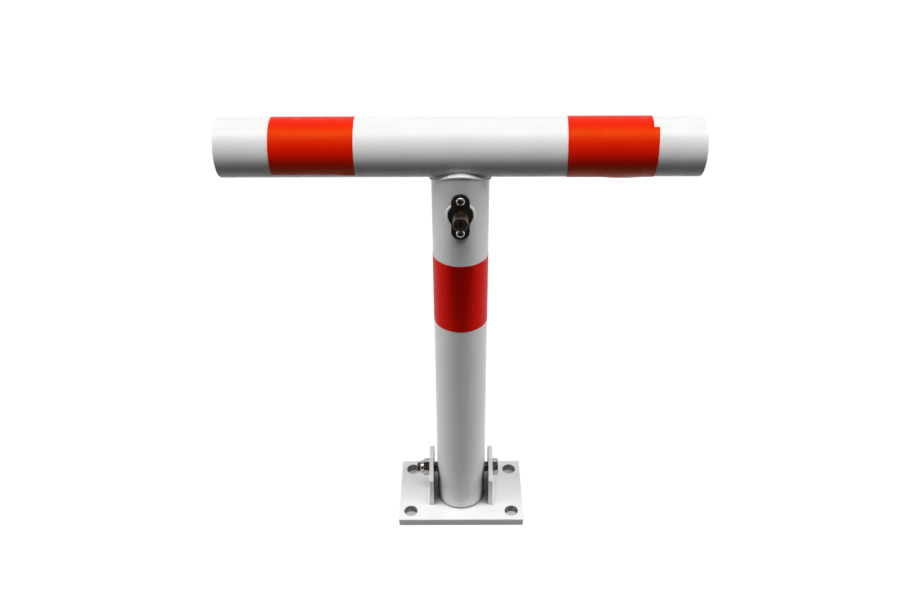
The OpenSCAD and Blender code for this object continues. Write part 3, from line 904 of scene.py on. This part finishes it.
def lock_screw(name, sign):
    """Domed pan-head screw with a tapered cross recess, seated on the lock's flange."""
    head = [(0, 0)]
    for k in range(13):
        angle = math.pi / 2 * k / 12
        head.append((SCREW_DOME * (1 - math.cos(angle)) * 0.98, SCREW_HEAD_R * math.sin(angle) ** 0.85))
    tip = SCREW_DOME + SCREW_SHANK
    head += [(SCREW_DOME, SCREW_HEAD_R), (SCREW_DOME, SCREW_SHANK_R), (tip, SCREW_SHANK_R), (tip, 0)]
    origin = Vector((0, FLANGE_FRONT - SCREW_DOME, LOCK.z + sign * SCREW_PITCH / 2))
    piece = turned(name, head, turn_to((0, 1, 0), origin))
    corners = ((-1, -1), (1, -1), (1, 1), (-1, 1))
    lead = 1 * MM
    for quarter in (0, 1):
        outline = [Vector((x * RECESS_REACH, y * RECESS_HALF)) for x, y in corners]
        spin_in = Matrix.Rotation(math.radians(45 + 90 * quarter + 12 * sign), 4, "Z")
        place = turn_to((0, 1, 0), origin - Vector((0, lead, 0))) @ spin_in
        cutter = prism("recess_cutter", outline, [], RECESS_DEPTH + lead, 0.05 * MM, place)
        for vertex in cutter.data.vertices:
            depth = (vertex.co.y - origin.y) / RECESS_DEPTH
            pull = 1 - 0.55 * max(0, depth)
            vertex.co.x = origin.x + (vertex.co.x - origin.x) * pull
            vertex.co.z = origin.z + (vertex.co.z - origin.z) * pull
        cut(piece, cutter)
    dress(smooth(piece, 30), "post", "screw_nickel", NICKEL, "lock_screws")


# Studio

def seen_ray(tree):
    """A socket that is 1 for camera, glossy and transmission rays, and 0 for the rest."""
    path = node(tree, "ShaderNodeLightPath").outputs
    seen = path["Is Camera Ray"]
    for kind in ("Is Glossy Ray", "Is Transmission Ray"):
        seen = node(tree, "ShaderNodeMath", {0: seen, 1: path[kind]}, operation="MAXIMUM").outputs[0]
    return seen


def blank_material(name):
    """A material with an empty node tree."""
    material = bpy.data.materials.new(name)
    material.use_nodes = True
    material.node_tree.nodes.clear()
    return material, material.node_tree


def floor_material():
    """Pale floor that reads white to the camera and in reflections, and keeps soft shadows."""
    material, tree = blank_material("floor")
    seen = seen_ray(tree)
    place = node(tree, "ShaderNodeTexCoord").outputs["Object"]
    away = node(tree, "ShaderNodeVectorMath", {0: place}, operation="LENGTH").outputs["Value"]
    strength = span(tree, away, 0.5, 2.5, 0.90, 1.0)
    glow = node(tree, "ShaderNodeEmission", {"Color": (1, 1, 1, 1), "Strength": strength})
    shade = node(tree, "ShaderNodeBsdfDiffuse", {"Color": (0.17, 0.17, 0.17, 1)})
    pale = node(tree, "ShaderNodeAddShader", {0: glow.outputs[0], 1: shade.outputs[0]})
    dull = node(tree, "ShaderNodeBsdfDiffuse", {"Color": (0.05, 0.05, 0.05, 1)})
    mixed = node(tree, "ShaderNodeMixShader", {0: seen, 1: dull.outputs[0], 2: pale.outputs[0]})
    node(tree, "ShaderNodeOutputMaterial", {"Surface": mixed.outputs[0]})
    return material


def floor():
    """A wide plain floor under the plate."""
    half = 8.0
    mesh = bpy.data.meshes.new("floor")
    corners = [(-half, -half, 0), (half, -half, 0), (half, half, 0), (-half, half, 0)]
    mesh.from_pydata(corners, [], [(0, 1, 2, 3)])
    mesh.materials.append(floor_material())
    link("floor", mesh)


def flag():
    """Dark cards in front, seen only in reflections, as the dark room in front of the white table was."""
    near, far, half = -0.36, -3.2, 3.5
    low, top = 0.004, 6.5
    corners = [(-half, near, low), (half, near, low), (half, far, low), (-half, far, low)]
    corners += [(-half, far, top), (half, far, top)]
    mesh = bpy.data.meshes.new("flag")
    mesh.from_pydata(corners, [], [(0, 1, 2, 3), (3, 2, 5, 4)])
    material, tree = blank_material("flag")
    glow = node(tree, "ShaderNodeEmission", {"Color": (1, 1, 1, 1), "Strength": 0.05})
    node(tree, "ShaderNodeOutputMaterial", {"Surface": glow.outputs[0]})
    mesh.materials.append(material)
    card = link("flag", mesh)
    card.visible_camera = False
    card.visible_diffuse = False
    card.visible_shadow = False
    card.visible_transmission = False


def underlay():
    """A plain pale grey sheet under the plate, which shows in the anchor holes with its real shading; being
    greyer than the white floor, it also adds painted shade there.
    """
    x, y = PLATE_HIGH.x - 4 * MM, PLATE_HIGH.y - 4 * MM
    z = 0.1 * MM
    mesh = bpy.data.meshes.new("underlay")
    mesh.from_pydata([(-x, -y, z), (x, -y, z), (x, y, z), (-x, y, z)], [], [(0, 1, 2, 3)])
    material = bpy.data.materials.new("underlay")
    material.use_nodes = True
    shader = material.node_tree.nodes["Principled BSDF"]
    # Painted shade: a grey below the floor's white, for the bottoms of the anchor holes.
    shader.inputs["Base Color"].default_value = (0.62, 0.62, 0.61, 1)
    shader.inputs["Roughness"].default_value = 0.8
    mesh.materials.append(material)
    link("underlay", mesh)


def world():
    """A dim even surround that reads white to the camera and in reflections."""
    made = bpy.data.worlds.new("studio")
    bpy.context.scene.world = made
    made.use_nodes = True
    tree = made.node_tree
    tree.nodes.clear()
    seen = seen_ray(tree)
    dim = node(tree, "ShaderNodeBackground", {"Color": (1, 1, 1, 1), "Strength": 0.03})
    white = node(tree, "ShaderNodeBackground", {"Color": (1, 1, 1, 1), "Strength": 1.0})
    mixed = node(tree, "ShaderNodeMixShader", {0: seen, 1: dim.outputs[0], 2: white.outputs[0]})
    node(tree, "ShaderNodeOutputWorld", {"Surface": mixed.outputs[0]})


def softbox(name, location, target, width, height, power):
    """A rectangular area light that faces a target, with its power in watts."""
    light = bpy.data.lights.new(name, "AREA")
    light.shape = "RECTANGLE"
    light.size = width
    light.size_y = height
    light.energy = power
    lamp = bpy.data.objects.new(name, light)
    bpy.context.scene.collection.objects.link(lamp)
    lamp.location = location
    lamp.rotation_euler = (Vector(target) - Vector(location)).to_track_quat("-Z", "Y").to_euler()
    lamp.visible_camera = False


def lights():
    """A long soft light overhead along the crossbar, low ones at the sides, and light off the table."""
    softbox("top", (0, -0.71, 3.2), (0, 0, 0.47), 8.0, 1.2, 163)
    softbox("left", (-1.2, 0.17, 0.30), (0, 0, 0.25), 0.4, 0.9, 5.6)
    softbox("right", (1.2, 0.17, 0.30), (0, 0, 0.25), 0.4, 0.9, 5.6)
    softbox("table", (0, -0.14, 0.014), (0, -0.05, 0.014), 0.30, 0.01, 0.006)


def camera():
    """The photograph's view: in front of the post and above it, looking down at it."""
    lens = bpy.data.cameras.new("camera")
    lens.lens = 35.249
    lens.sensor_width = 36
    lens.sensor_fit = "HORIZONTAL"
    made = bpy.data.objects.new("camera", lens)
    bpy.context.scene.collection.objects.link(made)
    pitch, roll = math.radians(34.396), math.radians(-0.162)
    spot = (-0.00067, -0.79985, 0.83407)
    turn = Matrix.Rotation(math.pi / 2 - pitch, 4, "X") @ Matrix.Rotation(roll, 4, "Z")
    made.matrix_world = Matrix.Translation(spot) @ turn
    bpy.context.scene.camera = made


# Assembly

plate()
for side, sign in (("left", -1), ("right", 1)):
    ear(side)
    ear_weld(side, sign)
    end_cap(side, sign)
bolt()
nut()
post()
lock_hole_rim()
crossbar()
junction_weld()
left_tape()
right_tape()
post_tape()
lock_screw("upper_lock_screw", 1)
lock_screw("lower_lock_screw", -1)

POLISHED = [
    ("nut_insert", "base", "nylon", NYLON, 0),
    ("rod_eye", "rod", "bare_steel", BARE_STEEL, 0.4 * MM),
    ("lock_rod", "rod", "bare_steel", BARE_STEEL, 0.4 * MM),
    ("rod_welds", "rod", "bare_steel", BARE_STEEL, 0),
    ("lower_guide", "post", "bare_steel", BARE_STEEL, 0.3 * MM),
    ("upper_guide", "post", "bare_steel", BARE_STEEL, 0.3 * MM),
    ("lock_body", "post", "lock_black", LOCK_BLACK, 0.8 * MM),
    ("lock_dowel", "post", "pin_steel", PIN_STEEL, 0.1 * MM),
    ("lock_spring", "post", "pin_steel", PIN_STEEL, 0),
    ("lock_plunger", "plunger", "plunger_bronze", BRONZE, 0.15 * MM),
    ("lock_pin", "plunger", "pin_steel", PIN_STEEL, 0.2 * MM),
    ("lock_latch", "plunger", "brass", BRASS, 0.15 * MM),
    ("key_core", "core", "plunger_bronze", CORE_DARK, 0.12 * MM),
]
for name, *finish in POLISHED:
    done = polished(name, *finish)
    if name == "lock_plunger":
        darken_face(done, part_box("lock_plunger")[0].y + 1.2 * MM, CORE_DARK)
    elif name == "lock_spring":
        squeeze_spring(done)

floor()
underlay()
flag()
world()
lights()
camera()
bpy.context.scene.view_settings.view_transform = "Standard"
